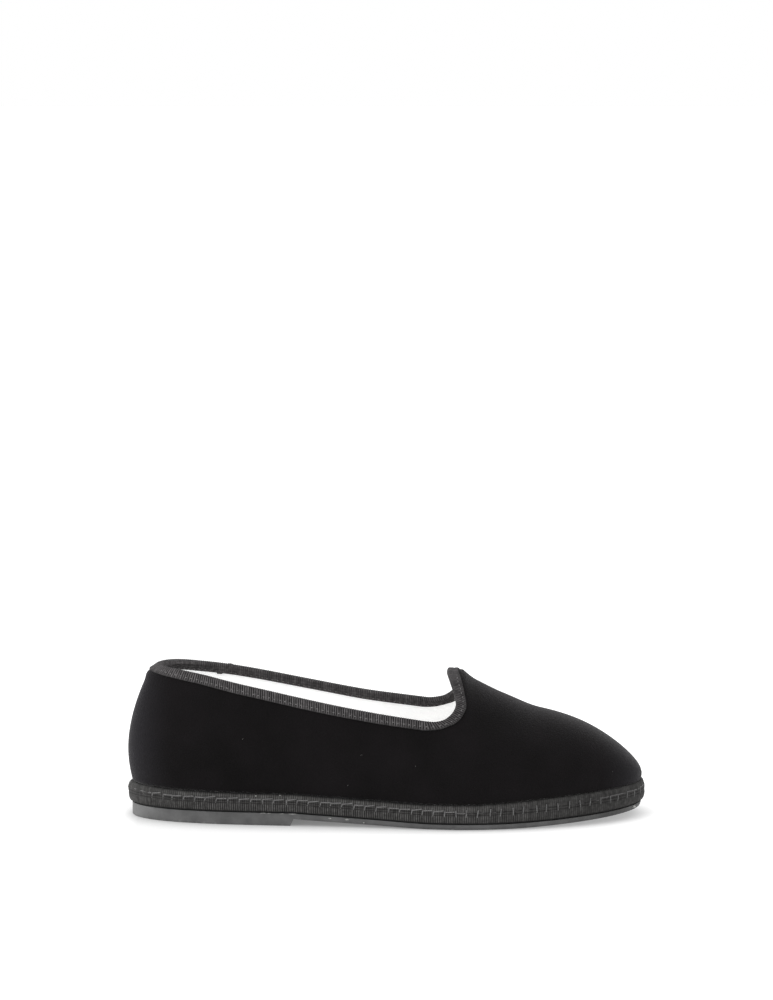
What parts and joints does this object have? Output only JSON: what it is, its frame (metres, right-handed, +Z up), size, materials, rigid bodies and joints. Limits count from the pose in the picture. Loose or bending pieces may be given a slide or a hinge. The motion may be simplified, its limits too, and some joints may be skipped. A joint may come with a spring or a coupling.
{
  "type": "velvet slipper",
  "caption": "Low velvet slipper with a peaked throat, ribbon-bound collar and ribbed cloth sole band on thin rubber with a low heel, for the right foot.",
  "frame": {"origin": "on the floor, at the middle of the shoe's length and width", "axes": "+X towards the toe, +Z up, -Y towards the shoe's outer side"},
  "size_m": [0.2566, 0.0884, 0.0761],
  "materials": {
    "outsole": "matt dark grey moulded rubber",
    "heel": "matt dark grey moulded rubber",
    "midsole": "black ribbed ribbon over layered cloth, blanket stitched",
    "insole": "white woven cotton",
    "upper": "black cotton velvet outside, white cotton lining inside",
    "collar_binding": "black grosgrain ribbon"
  },
  "bodies": {
    "root": {"outsole": "outsole", "heel": "heel", "midsole": "midsole", "insole": "insole", "upper": "upper", "collar_binding": "collar_binding"}
  },
  "joints": []
}
